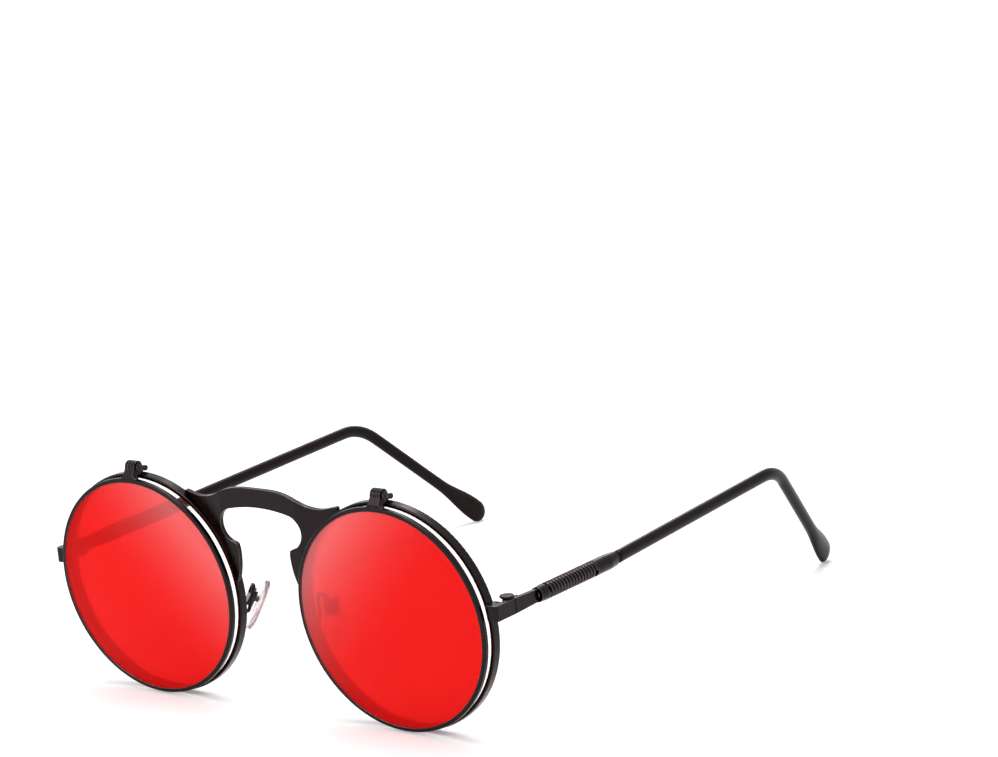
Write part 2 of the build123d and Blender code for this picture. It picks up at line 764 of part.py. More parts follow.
# ---- Nose pads ----------------------------------------------------------------------------------
pad_middle = by_nose(*pad_centre)
pad_down = (front_point(*pad_slope) - front_point(0, 0, 0)).normalized()
outward = front_point(*pad_facing) - front_point(0, 0, 0)
pad_out = (outward - pad_down * outward.dot(pad_down)).normalized()
PAD = Plane(origin=pad_middle, x_dir=pad_down, z_dir=pad_out)
pad_face = pad_thickness / 2
lug_radius = (yoke_height - yoke_floor - lug_clear) / 2
pin_height = pad_face + pad_gap + lug_radius
pin_place = PAD.from_local_coords(Vector(-lug_rise, 0, pin_height))
pin_side = Plane(origin=pin_place, x_dir=pad_down, z_dir=PAD.y_dir)
yoke_foot = pad_face + pad_gap
yoke_top = yoke_foot + yoke_height
yoke_width = lug_width + 2 * core_fit + 2 * yoke_cheek

with BuildPart() as nose_pad:
    with BuildSketch(PAD.offset(-pad_face)):
        Ellipse(pad_length / 2, pad_width / 2)
    extrude(amount=pad_thickness)
    fillet(nose_pad.edges().filter_by(GeomType.ELLIPSE), radius=0.42 * pad_thickness)
    with BuildSketch(PAD.offset(pad_face - lug_depth)):
        with Locations((-lug_rise, 0)):
            Rectangle(2 * lug_radius, lug_width)
    extrude(amount=lug_depth + 1, mode=Mode.SUBTRACT)
save_pair(nose_pad, "nose_pad")

with BuildPart() as pad_lug:
    with BuildSketch(PAD.offset(pad_face - lug_depth)):
        with Locations((-lug_rise, 0)):
            Rectangle(2 * lug_radius, lug_width)
    extrude(amount=lug_depth + pin_height - pad_face)
    with BuildSketch(pin_side.offset(-lug_width / 2)):
        Circle(lug_radius)
    extrude(amount=lug_width)
    with BuildSketch(pin_side.offset(-lug_width)):
        Circle(pad_screw_radius + screw_fit)
    extrude(amount=2 * lug_width, mode=Mode.SUBTRACT)
save_pair(pad_lug, "pad_lug")

arm_start = by_nose(arm_root[0], arm_root[1], clear_front + clear_depth)
arm_middle = [by_nose(*place) for place in arm_bends]
arm_height = yoke_top - yoke_floor + arm_radius + 0.05
arm_end = PAD.from_local_coords(Vector(-lug_rise - yoke_length / 4, 0, arm_height))
with BuildPart() as pad_arm:
    with BuildSketch(PAD.offset(yoke_foot)):
        with Locations((-lug_rise, 0)):
            RectangleRounded(yoke_length, yoke_width, 0.3)
    extrude(amount=yoke_height)
    with BuildSketch(PAD.offset(yoke_foot)):
        with Locations((-lug_rise, 0)):
            Rectangle(2 * yoke_length, lug_width + 2 * core_fit)
    extrude(amount=yoke_height - yoke_floor, mode=Mode.SUBTRACT)
    with BuildSketch(pin_side.offset(-yoke_width)):
        Circle(pad_screw_radius + screw_fit)
    extrude(amount=2 * yoke_width, mode=Mode.SUBTRACT)
    with BuildLine() as arm_line:
        FilletPolyline(arm_start, *arm_middle, arm_end, radius=arm_round)
    with BuildSketch(Plane(origin=arm_start, z_dir=arm_line.wire().tangent_at(0))):
        Circle(arm_radius)
    sweep(path=arm_line.wire())
save_pair(pad_arm, "pad_arm")

with BuildPart() as pad_screw:
    with BuildSketch(pin_side.offset(-yoke_width / 2)):
        Circle(pad_screw_radius)
    extrude(amount=yoke_width)
    with BuildSketch(pin_side.offset(yoke_width / 2)):
        Circle(2 * pad_screw_radius)
    extrude(amount=0.25)
save_pair(pad_screw, "pad_screw")
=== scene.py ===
from math import acos, cos, pi, sin, sqrt, tan

import bmesh
import bpy
from bpy.props import FloatProperty, FloatVectorProperty, PointerProperty
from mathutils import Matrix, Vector


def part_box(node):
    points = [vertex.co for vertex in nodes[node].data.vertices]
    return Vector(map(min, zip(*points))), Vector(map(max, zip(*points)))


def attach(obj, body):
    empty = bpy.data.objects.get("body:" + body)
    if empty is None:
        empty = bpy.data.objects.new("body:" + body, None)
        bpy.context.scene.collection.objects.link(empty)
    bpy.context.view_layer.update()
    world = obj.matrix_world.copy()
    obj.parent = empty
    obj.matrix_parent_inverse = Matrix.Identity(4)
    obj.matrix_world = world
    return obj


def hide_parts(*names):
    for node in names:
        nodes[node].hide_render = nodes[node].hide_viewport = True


bl_info = {
    "name": "Round flip-up sunglasses",
    "version": (1, 0, 0),
    "blender": (4, 5, 0),
    "location": "View3D > Sidebar > Flip-ups",
    "description": "Finishes the metalwork, lenses, ear sleeves and nose pads of the glasses",
    "category": "Object",
}

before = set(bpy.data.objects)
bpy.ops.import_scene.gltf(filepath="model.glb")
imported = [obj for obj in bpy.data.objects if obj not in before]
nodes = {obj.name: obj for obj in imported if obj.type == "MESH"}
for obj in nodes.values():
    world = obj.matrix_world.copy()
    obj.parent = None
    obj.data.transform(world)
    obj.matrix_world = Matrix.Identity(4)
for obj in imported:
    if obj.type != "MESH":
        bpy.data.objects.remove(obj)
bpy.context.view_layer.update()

SIDES = ("left", "right")
PLATED = (
    "clear_rim",
    "flip_rim",
    "flip_leaf",
    "flip_base",
    "end_piece",
    "lock_upper",
    "lock_lower",
    "hinge_front",
    "hinge_rear",
    "temple_bar",
    "front_ferrule",
    "rear_collar",
    "pad_arm",
)
SCREWS = ("hinge_screw", "rim_screw", "flip_screw", "pad_screw")

# The colour sockets of a Mix node by number, because their names repeat for each kind of data.
FACTOR, FIRST, SECOND, MIXED = 0, 6, 7, 2
# A noise texture keeps mostly between these two values.
NOISE_SPAN = {"From Min": 0.3, "From Max": 0.7}
# Levels of the subdivision surface that rounds a drawn piece.
SMOOTHING = 2


def linear(code):
    """The linear colour, with full alpha, of an sRGB hex code."""
    channels = [int(code[i : i + 2], 16) / 255 for i in (1, 3, 5)]
    bent = [c / 12.92 if c <= 0.04045 else ((c + 0.055) / 1.055) ** 2.4 for c in channels]
    return (*bent, 1.0)


def add_node(tree, kind, inputs=None, **options):
    """Adds a node with its settings.

    Each input, by name or number, gets a value or a link from another node's output.
    """
    node = tree.nodes.new(kind)
    for name, value in options.items():
        setattr(node, name, value)
    for key, value in (inputs or {}).items():
        if isinstance(value, bpy.types.NodeSocket):
            tree.links.new(value, node.inputs[key])
        else:
            node.inputs[key].default_value = value
    return node


def empty_tree(owner):
    """The node tree of a new material or world, cleared."""
    owner.use_nodes = True
    owner.node_tree.nodes.clear()
    return owner.node_tree


def bare_material(name):
    """A new material that holds only a surface shader and the output."""
    finish = bpy.data.materials.new(name)
    tree = empty_tree(finish)
    surface = add_node(tree, "ShaderNodeBsdfPrincipled")
    output = add_node(tree, "ShaderNodeOutputMaterial", {"Surface": surface.outputs["BSDF"]})
    return finish, tree, surface, output


def dress(names, finish):
    """Gives CAD nodes a finish."""
    for name in names:
        for slot in nodes[name].material_slots:
            slot.material = finish


def both(names):
    """The left and the right node of each name."""
    return [f"{name}_{side}" for name in names for side in SIDES]


def join_rings(mesh, rings):
    """Draws faces from each ring of points to the next, where a lone point is a closed end."""
    for near, far in zip(rings, rings[1:]):
        around = max(len(near), len(far))
        for step in range(around):
            after = (step + 1) % around
            if len(near) == 1:
                mesh.faces.new((near[0], far[step], far[after]))
            elif len(far) == 1:
                mesh.faces.new((near[step], near[after], far[0]))
            else:
                mesh.faces.new((near[step], near[after], far[after], far[step]))


def as_piece(mesh, name, finish):
    """Turns a drawn mesh into an object with smooth shading and a subdivision surface."""
    data = bpy.data.meshes.new(name)
    mesh.to_mesh(data)
    mesh.free()
    data.materials.append(finish)
    for face in data.polygons:
        face.use_smooth = True
    piece = bpy.data.objects.new(name, data)
    bpy.context.scene.collection.objects.link(piece)
    rounding = piece.modifiers.new("rounding", "SUBSURF")
    rounding.levels = SMOOTHING
    rounding.render_levels = SMOOTHING
    return piece


# ---- Sizes and colours --------------------------------------------------------------------------
def length(name, description, millimetres):
    """A size that the user may change, given here in millimetres."""
    return FloatProperty(
        name=name,
        description=description,
        default=millimetres / 1000,
        min=0.0,
        precision=6,
        subtype="DISTANCE",
        unit="LENGTH",
    )


def colour(name, description, code):
    """A colour that the user may change, given here as an sRGB hex code."""
    return FloatVectorProperty(
        name=name,
        description=description,
        default=linear(code),
        size=4,
        min=0.0,
        max=1.0,
        subtype="COLOR",
    )


def share(name, description, value):
    """A level from nought to one that the user may change."""
    return FloatProperty(
        name=name, description=description, default=value, min=0.0, max=1.0, subtype="FACTOR"
    )


class MetalSizes(bpy.types.PropertyGroup):
    """Black plated metal of the frame, its screws and its coils."""

    plating: colour("Plating", "Black nickel over the whole frame", "#262122")
    # Painted highlight: this lighter colour is painted along each edge, for the bright line that a
    # rounded edge reflects.
    painted_edge_highlight: colour("Polished edge", "Where tumbling thins the black on an edge", "#A09693")
    screw_black: colour("Screw black", "Oxide on the turned screws", "#322D2E")
    wire_black: colour("Wire black", "Oxide on the drawn spring wire", "#413A3B")
    edge_round: length("Edge rounding", "Radius that tumbling leaves on an edge", 0.12)
    ripple: length("Ripple", "Spacing of the faint waves that tumbling leaves", 0.9)
    turning: length("Turning marks", "Spacing of the rings on a screw's head", 0.496)
    # Painted shade: within this reach, nearby surfaces darken the plating's colour.
    painted_shade_reach: length("Joint reach", "How near two faces stand where the stones miss them", 0.5)
    # Painted shadow: the colour and width of the dark band painted round the joint, for the shade
    # in its gap.
    joint_shadow_colour: colour("Raw cut", "Cut ends where the end piece meets the temple", "#0C0A0A")
    joint_shadow_width: length("Cut width", "The dark line round that joint", 0.5)


class LensSizes(bpy.types.PropertyGroup):
    """The two pairs of lenses."""

    red: colour("Red dye", "The even part of the tint", "#E20B0C")
    pale: colour("Pale tint", "The tint at its palest, up by the nose", "#E67F80")
    filter: colour("Red filter", "What one face of the tint does to light that passes", "#FC6E68")
    water: colour("Clear resin", "The fixed lenses", "#FDFEFE")
    see_through: share("See-through", "Share of the light that the tint lets through", 0.25)
    tint_cloud: length("Tint cloud", "Size of the dye's faint unevenness", 6.0)


class SleeveSizes(bpy.types.PropertyGroup):
    """The ear sleeves."""

    black: colour("Black", "Cellulose acetate, dyed through", "#140A08")
    width: length("Width", "Across the sleeve", 2.6)
    height: length("Height", "From top to underside", 3.0)
    bend: length("Bend", "Radius of the middle line at the ear", 14.0)
    paddle_length: length("Paddle length", "Length of the flared end", 17.0)
    paddle_height: length("Paddle height", "At the widest place", 5.8)
    paddle_width: length("Paddle thickness", "At the widest place", 2.2)
    tip_round: length("Tip rounding", "Length of the rounded end", 3.0)
    swirl: length("Swirl", "Spacing of the faint waves that polishing leaves", 2.2)


class PadSizes(bpy.types.PropertyGroup):
    """The nose pads."""

    silicone: colour("Silicone", "Clear, with a trace of rose", "#FCF1F3")
    length: length("Length", "Along the nose", 12.5)
    width: length("Width", "Across the pad", 7.1)
    thickness: length("Thickness", "At the middle", 1.7)
    grain: length("Mould grain", "Spacing of the fine grain from the mould", 0.35)


class StudioSizes(bpy.types.PropertyGroup):
    """The paper floor and the light from all sides."""

    floor: colour("Floor", "White paper", "#F0F0F0")
    floor_radius: length("Floor radius", "Reach of the floor round the glasses", 2500.0)
    sky: share("Surrounding light", "Level of the even light from all sides", 0.54)
    paper_glow: share("Paper glow", "Lifts the floor to white where the camera sees it", 0.18)


class FlipUps(bpy.types.PropertyGroup):
    """Everything that a user may change."""

    metal: PointerProperty(type=MetalSizes)
    lenses: PointerProperty(type=LensSizes)
    sleeves: PointerProperty(type=SleeveSizes)
    pads: PointerProperty(type=PadSizes)
    studio: PointerProperty(type=StudioSizes)


# ---- Metal --------------------------------------------------------------------------------------
# Where each end piece meets its temple, in the frame of the whole part: behind the front, and
# farther out than anything else that stands at that depth.
JOINT_BACK = (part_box("end_piece_left")[1].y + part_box("temple_bar_left")[0].y) / 2
JOINT_ASIDE = 0.06
# Polishing stones leave patches of more and less gloss, this far across.
PATCH_SIZE = 0.005
# The cosines of the turn at which an edge starts to shine and shines most, and the share of the
# lighter colour, a painted highlight along the edge, that it then shows.
EDGE_START, EDGE_FULL, EDGE_HIGHLIGHT_SHARE = 0.985, 0.82, 0.7
# The shares of open air round a place that is shut in and round an open one, and the share of its
# colour that a place keeps where it is shut in, darkened there as painted shade.
SHUT_IN, OPEN, PAINTED_SHADE_LEVEL = 0.25, 0.6, 0.15
# Rays that look for edges and for open air.
RAYS = 6
# The head of a temple hinge's screw, from side to side.
HEAD_WIDTH = 0.0032
# Die marks are a few hundredths of a millimetre apart. They are drawn 0.4 mm apart to show.
STREAK_SPACING = 0.0004


def nickel_silver_tumbled_black_plated(sizes):
    """Nickel silver, stamped and bent, tumbled with stones, then plated with black nickel.

    Tumbling rounds every edge by about a tenth of a millimetre. A lighter colour is painted along
    each edge as a painted highlight, so each edge draws a fine bright line. Painted shade darkens
    the crevices, and a painted shadow line marks the joint of end piece and temple. The faces are
    dark brown-black with a soft, slightly wavy gloss.
    """
    finish, tree, surface, _ = bare_material("nickel_silver_tumbled_black_plated")
    place = add_node(tree, "ShaderNodeTexCoord").outputs["Object"]
    ripple = add_node(
        tree, "ShaderNodeTexNoise", {"Vector": place, "Scale": 1 / sizes.ripple, "Detail": 2.0}
    )
    patches = add_node(
        tree, "ShaderNodeTexNoise", {"Vector": place, "Scale": 1 / PATCH_SIZE, "Detail": 3.0}
    )
    gloss = add_node(
        tree,
        "ShaderNodeMapRange",
        {"Value": patches.outputs["Fac"], **NOISE_SPAN, "To Min": 0.2, "To Max": 0.34},
    )
    rounded = add_node(tree, "ShaderNodeBevel", {"Radius": sizes.edge_round}, samples=RAYS)
    flat = add_node(tree, "ShaderNodeNewGeometry").outputs["Normal"]
    turn = add_node(
        tree,
        "ShaderNodeVectorMath",
        {0: rounded.outputs["Normal"], 1: flat},
        operation="DOT_PRODUCT",
    )
    edge = add_node(
        tree,
        "ShaderNodeMapRange",
        {
            "Value": turn.outputs["Value"],
            "From Min": EDGE_START,
            "From Max": EDGE_FULL,
            "To Max": EDGE_HIGHLIGHT_SHARE,
        },
    )
    # Painted highlight: a lighter colour is mixed into the plating along each edge, in place of the
    # bright line of light that the rounded edge reflects.
    black = add_node(
        tree,
        "ShaderNodeMix",
        {FACTOR: edge.outputs["Result"], FIRST: sizes.plating, SECOND: sizes.painted_edge_highlight},
        data_type="RGBA",
    )
    # Painted shade: where little open air surrounds a place, in joints, crevices and between parts,
    # the colour is darkened to stand in for the shade that falls there.
    open_air = add_node(
        tree, "ShaderNodeAmbientOcclusion", {"Distance": sizes.painted_shade_reach}, samples=RAYS
    )
    painted_shade = add_node(
        tree,
        "ShaderNodeMapRange",
        {
            "Value": open_air.outputs["AO"],
            "From Min": SHUT_IN,
            "From Max": OPEN,
            "To Min": PAINTED_SHADE_LEVEL,
        },
    )
    shaded_plating = add_node(
        tree,
        "ShaderNodeMix",
        {FACTOR: 1.0, FIRST: black.outputs[MIXED], SECOND: painted_shade.outputs["Result"]},
        data_type="RGBA",
        blend_type="MULTIPLY",
    )
    # The end piece and the temple meet with square ends. A dark band is painted round that joint as
    # painted shadow, standing in for the shade inside the narrow gap between them.
    where = add_node(tree, "ShaderNodeSeparateXYZ", {0: place})
    cut = add_node(
        tree,
        "ShaderNodeMath",
        {0: where.outputs["Y"], 1: JOINT_BACK, 2: sizes.joint_shadow_width / 2},
        operation="COMPARE",
    )
    reach = add_node(tree, "ShaderNodeMath", {0: where.outputs["X"]}, operation="ABSOLUTE")
    outside = add_node(
        tree,
        "ShaderNodeMath",
        {0: reach.outputs["Value"], 1: JOINT_ASIDE},
        operation="GREATER_THAN",
    )
    joint_shadow_mask = add_node(
        tree,
        "ShaderNodeMath",
        {0: cut.outputs["Value"], 1: outside.outputs["Value"]},
        operation="MULTIPLY",
    )
    # The painted shadow band goes over the plating here.
    plated = add_node(
        tree,
        "ShaderNodeMix",
        {FACTOR: joint_shadow_mask.outputs["Value"], FIRST: shaded_plating.outputs[MIXED], SECOND: sizes.joint_shadow_colour},
        data_type="RGBA",
    )
    wave = add_node(
        tree,
        "ShaderNodeBump",
        {
            "Height": ripple.outputs["Fac"],
            "Strength": 0.25,
            "Distance": 0.00003,
            "Normal": rounded.outputs["Normal"],
        },
    )
    tree.links.new(plated.outputs[MIXED], surface.inputs["Base Color"])
    tree.links.new(gloss.outputs["Result"], surface.inputs["Roughness"])
    tree.links.new(wave.outputs["Normal"], surface.inputs["Normal"])
    surface.inputs["Metallic"].default_value = 1.0
    return finish


def steel_turned_black_oxide(sizes):
    """Free-cutting steel, turned and slotted, with black oxide.

    The head shows fine rings from the tool and is a shade greyer than the plating round it.
    """
    finish, tree, surface, _ = bare_material("steel_turned_black_oxide")
    place = add_node(tree, "ShaderNodeTexCoord").outputs["Generated"]
    centred = add_node(
        tree, "ShaderNodeVectorMath", {0: place, 1: (0.5, 0.5, 0.0)}, operation="SUBTRACT"
    )
    # One unit of these coordinates is the width of the head, and at a scale of one the rings are a
    # tenth of pi apart. Real tool marks are finer, and these are drawn as coarse as shows.
    rings = add_node(
        tree,
        "ShaderNodeTexWave",
        {
            "Vector": centred.outputs["Vector"],
            "Scale": pi / 10 * HEAD_WIDTH / sizes.turning,
            "Distortion": 0.4,
        },
        wave_type="RINGS",
        rings_direction="Z",
    )
    gloss = add_node(
        tree,
        "ShaderNodeMapRange",
        {"Value": rings.outputs["Fac"], "To Min": 0.24, "To Max": 0.36},
    )
    groove = add_node(
        tree,
        "ShaderNodeBump",
        {"Height": rings.outputs["Fac"], "Strength": 0.2, "Distance": 0.00002},
    )
    surface.inputs["Base Color"].default_value = sizes.screw_black
    surface.inputs["Metallic"].default_value = 1.0
    tree.links.new(gloss.outputs["Result"], surface.inputs["Roughness"])
    tree.links.new(groove.outputs["Normal"], surface.inputs["Normal"])
    return finish


def spring_wire_drawn_black_oxide(sizes):
    """Music wire, drawn through a die, coiled and oxidised black.

    Smooth enough that every turn carries its own small highlight, with faint streaks of gloss.
    """
    finish, tree, surface, _ = bare_material("spring_wire_drawn_black_oxide")
    place = add_node(tree, "ShaderNodeTexCoord").outputs["Object"]
    streaks = add_node(
        tree, "ShaderNodeTexNoise", {"Vector": place, "Scale": 1 / STREAK_SPACING, "Detail": 1.0}
    )
    gloss = add_node(
        tree,
        "ShaderNodeMapRange",
        {"Value": streaks.outputs["Fac"], **NOISE_SPAN, "To Min": 0.1, "To Max": 0.2},
    )
    surface.inputs["Base Color"].default_value = sizes.wire_black
    surface.inputs["Metallic"].default_value = 1.0
    tree.links.new(gloss.outputs["Result"], surface.inputs["Roughness"])
    return finish


class FLIPUPS_OT_metalwork(bpy.types.Operator):
    """Plates the eyewires, bridge, hinges, end pieces, temples and pad arms"""

    bl_idname = "flipups.metalwork"
    bl_label = "Plate the metalwork"

    def execute(self, context):
        plating = nickel_silver_tumbled_black_plated(context.scene.flipups.metal)
        dress(["bridge_plate", *both(PLATED)], plating)
        return {"FINISHED"}


class FLIPUPS_OT_screws(bpy.types.Operator):
    """Finishes the screws of the hinges, rim locks, flip hinges and nose pads"""

    bl_idname = "flipups.screws"
    bl_label = "Blacken the screws"

    def execute(self, context):
        dress(both(SCREWS), steel_turned_black_oxide(context.scene.flipups.metal))
        return {"FINISHED"}


class FLIPUPS_OT_coils(bpy.types.Operator):
    """Finishes the coil of wire round each temple"""

    bl_idname = "flipups.coils"
    bl_label = "Blacken the coils"

    def execute(self, context):
        wire = spring_wire_drawn_black_oxide(context.scene.flipups.metal)
        dress(both(["temple_spring"]), wire)
        return {"FINISHED"}


# ---- Lenses -------------------------------------------------------------------------------------
# The way from a lens's middle to where its tint is palest, per lens radius. Along it, the place
# where the fade starts, its reach, and the power that holds it back until near the rim.
PALE_INWARD, PALE_UPWARD = 0.75, 0.65
PALE_START, PALE_REACH, PALE_POWER = -0.3, 1.15, 3.0
# How far the dye is off its even level, to each side.
UNEVENNESS = 0.02
RESIN_IOR = 1.5
# Lap marks are far finer than this; a trace of haze some 8 mm across stands for them.
HAZE_SIZE = 0.008


def resin_cast_dyed_red(sizes):
    """Optical resin, cast, ground and dipped in hot dye.

    A glossy, evenly glowing red that goes paler and pinker up by the nose. What stands behind it
    shows through faintly.
    """
    low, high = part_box("tinted_lens_left")
    middle = (low + high) / 2
    radius = (high.x - low.x) / 2
    finish, tree, surface, output = bare_material("resin_cast_dyed_red")
    place = add_node(tree, "ShaderNodeTexCoord").outputs["Object"]
    folded = add_node(tree, "ShaderNodeVectorMath", {0: place}, operation="ABSOLUTE")
    # Toward the nose and up: both lenses share this, because their places mirror each other.
    inward, upward = PALE_INWARD / radius, PALE_UPWARD / radius
    climb = add_node(
        tree,
        "ShaderNodeVectorMath",
        {0: folded.outputs["Vector"], 1: (-inward, 0.0, upward)},
        operation="DOT_PRODUCT",
    )
    start = PALE_START - inward * middle.x + upward * middle.z
    fade = add_node(
        tree,
        "ShaderNodeMapRange",
        {"Value": climb.outputs["Value"], "From Min": start, "From Max": start + PALE_REACH},
    )
    soft_fade = add_node(
        tree, "ShaderNodeMath", {0: fade.outputs["Result"], 1: PALE_POWER}, operation="POWER"
    )
    cloud = add_node(
        tree, "ShaderNodeTexNoise", {"Vector": place, "Scale": 1 / sizes.tint_cloud, "Detail": 1.0}
    )
    uneven = add_node(
        tree,
        "ShaderNodeMapRange",
        {"Value": cloud.outputs["Fac"], "To Min": -UNEVENNESS, "To Max": UNEVENNESS},
    )
    pale = add_node(
        tree,
        "ShaderNodeMath",
        {0: soft_fade.outputs["Value"], 1: uneven.outputs["Result"]},
        operation="ADD",
        use_clamp=True,
    )
    tint = add_node(
        tree,
        "ShaderNodeMix",
        {FACTOR: pale.outputs["Value"], FIRST: sizes.red, SECOND: sizes.pale},
        data_type="RGBA",
    )
    tree.links.new(tint.outputs[MIXED], surface.inputs["Base Color"])
    surface.inputs["Roughness"].default_value = 0.08
    surface.inputs["IOR"].default_value = RESIN_IOR
    surface.inputs["Specular IOR Level"].default_value = 0.1
    # Light crosses the front and the back of a lens, so each keeps the root of the whole share.
    passed = add_node(tree, "ShaderNodeBsdfTransparent", {"Color": sizes.filter})
    glass = add_node(
        tree,
        "ShaderNodeMixShader",
        {0: sqrt(sizes.see_through), 1: surface.outputs["BSDF"], 2: passed.outputs["BSDF"]},
    )
    tree.links.new(glass.outputs["Shader"], output.inputs["Surface"])
    return finish


def resin_cast_polished_clear(sizes):
    """Optical resin, cast, polished and hard coated.

    Clear enough to show only by its reflections, which grow toward a slanting view.
    """
    finish, tree, surface, output = bare_material("resin_cast_polished_clear")
    place = add_node(tree, "ShaderNodeTexCoord").outputs["Object"]
    haze = add_node(
        tree, "ShaderNodeTexNoise", {"Vector": place, "Scale": 1 / HAZE_SIZE, "Detail": 1.0}
    )
    gloss = add_node(
        tree,
        "ShaderNodeMapRange",
        {"Value": haze.outputs["Fac"], "To Min": 0.02, "To Max": 0.06},
    )
    tree.links.new(gloss.outputs["Result"], surface.inputs["Roughness"])
    surface.inputs["Base Color"].default_value = sizes.water
    surface.inputs["Metallic"].default_value = 1.0
    # The far face is met from inside, where the node needs the inverse to give the same gloss.
    behind = add_node(tree, "ShaderNodeNewGeometry").outputs["Backfacing"]
    bending = add_node(
        tree,
        "ShaderNodeMapRange",
        {"Value": behind, "To Min": RESIN_IOR, "To Max": 1 / RESIN_IOR},
    )
    slant = add_node(tree, "ShaderNodeFresnel", {"IOR": bending.outputs["Result"]})
    passed = add_node(tree, "ShaderNodeBsdfTransparent", {"Color": sizes.water})
    glass = add_node(
        tree,
        "ShaderNodeMixShader",
        {0: slant.outputs["Fac"], 1: passed.outputs["BSDF"], 2: surface.outputs["BSDF"]},
    )
    tree.links.new(glass.outputs["Shader"], output.inputs["Surface"])
    return finish


class FLIPUPS_OT_clear_lenses(bpy.types.Operator):
    """Polishes the fixed pair of lenses"""

    bl_idname = "flipups.clear_lenses"
    bl_label = "Polish the clear lenses"

    def execute(self, context):
        dress(both(["clear_lens"]), resin_cast_polished_clear(context.scene.flipups.lenses))
        return {"FINISHED"}


class FLIPUPS_OT_tinted_lenses(bpy.types.Operator):
    """Dyes the pair of lenses that flips up"""

    bl_idname = "flipups.tinted_lenses"
    bl_label = "Dye the flip lenses"

    def execute(self, context):
        dress(both(["tinted_lens"]), resin_cast_dyed_red(context.scene.flipups.lenses))
        return {"FINISHED"}


# ---- Ear sleeves --------------------------------------------------------------------------------
def acetate_tumbled_black(sizes):
    """Cellulose acetate, dyed through, moulded over the core wire and tumbled to a gloss.

    Deep black with wide soft highlights that waver slightly along the sleeve.
    """
    finish, tree, surface, _ = bare_material("acetate_tumbled_black")
    place = add_node(tree, "ShaderNodeTexCoord").outputs["Object"]
    swirl = add_node(
        tree, "ShaderNodeTexNoise", {"Vector": place, "Scale": 1 / sizes.swirl, "Detail": 2.0}
    )
    gloss = add_node(
        tree,
        "ShaderNodeMapRange",
        {"Value": swirl.outputs["Fac"], **NOISE_SPAN, "To Min": 0.12, "To Max": 0.22},
    )
    wave = add_node(
        tree,
        "ShaderNodeBump",
        {"Height": swirl.outputs["Fac"], "Strength": 0.3, "Distance": 0.00004},
    )
    tree.links.new(gloss.outputs["Result"], surface.inputs["Roughness"])
    tree.links.new(wave.outputs["Normal"], surface.inputs["Normal"])
    surface.inputs["Base Color"].default_value = sizes.black
    surface.inputs["IOR"].default_value = 1.48
    surface.inputs["Specular IOR Level"].default_value = 0.1
    return finish


# The left sleeve's middle line, in the frame of the whole part: where it leaves the collar, where
# its two straight stretches would meet, and where it ends.
SLEEVE_ROOT = Vector((0.06547, -0.02860, 0.03084))
SLEEVE_CORNER = Vector((0.06375, 0.03883, 0.03311))
SLEEVE_END = Vector((0.05345, 0.07283, 0.00100))
# Steps along the leg, round the bend, down to the paddle, along it, over the tip and round it all.
LEG_STEPS, BEND_STEPS, NECK_STEPS, PADDLE_STEPS, TIP_STEPS = 9, 10, 3, 7, 6
SLEEVE_AROUND = 20
# The share of the paddle's length in which it widens, and how squarely its tip closes in width.
FLARE_SHARE = 0.72
TIP_SQUARENESS = 0.8
# How firmly the cut edge at the collar keeps its corner.
MOUTH_CREASE = 0.8


def middle_line(sizes):
    """Points along the middle line with their headings, closer together round the bend."""
    ahead = (SLEEVE_CORNER - SLEEVE_ROOT).normalized()
    down = (SLEEVE_END - SLEEVE_CORNER).normalized()
    turn = acos(ahead.dot(down))
    reach = sizes.bend * tan(turn / 2)
    bend_start = SLEEVE_CORNER - ahead * reach
    bend_end = SLEEVE_CORNER + down * reach
    inward = (down - ahead * ahead.dot(down)).normalized()
    centre = bend_start + inward * sizes.bend
    line = []
    for step in range(LEG_STEPS):
        line.append((SLEEVE_ROOT.lerp(bend_start, step / LEG_STEPS), ahead))
    for step in range(BEND_STEPS + 1):
        angle = turn * step / BEND_STEPS
        place = centre + (ahead * sin(angle) - inward * cos(angle)) * sizes.bend
        line.append((place, ahead * cos(angle) + inward * sin(angle)))
    paddle_start = SLEEVE_END - down * sizes.paddle_length
    for step in range(1, NECK_STEPS + 1):
        line.append((bend_end.lerp(paddle_start, step / NECK_STEPS), down))
    straight = sizes.paddle_length - sizes.tip_round
    for step in range(1, PADDLE_STEPS + 1):
        line.append((paddle_start + down * straight * step / PADDLE_STEPS, down))
    for step in range(1, TIP_STEPS + 1):
        angle = pi / 2 * step / TIP_STEPS
        line.append((SLEEVE_END - down * sizes.tip_round * (1 - sin(angle)), down))
    return line


def sleeve_section(sizes, before_end):
    """Half width and half height of the sleeve at a distance before its end."""
    widening = FLARE_SHARE * sizes.paddle_length
    flare = min(1.0, max(0.0, (sizes.paddle_length - before_end) / widening))
    flare = flare * flare * (3 - 2 * flare)
    width = sizes.width + (sizes.paddle_width - sizes.width) * flare
    height = sizes.height + (sizes.paddle_height - sizes.height) * flare
    if before_end < sizes.tip_round:
        closing = 1 - before_end / sizes.tip_round
        shut = sqrt(max(0.0, 1 - closing * closing))
        width *= shut**TIP_SQUARENESS
        height *= shut
    return width / 2, height / 2


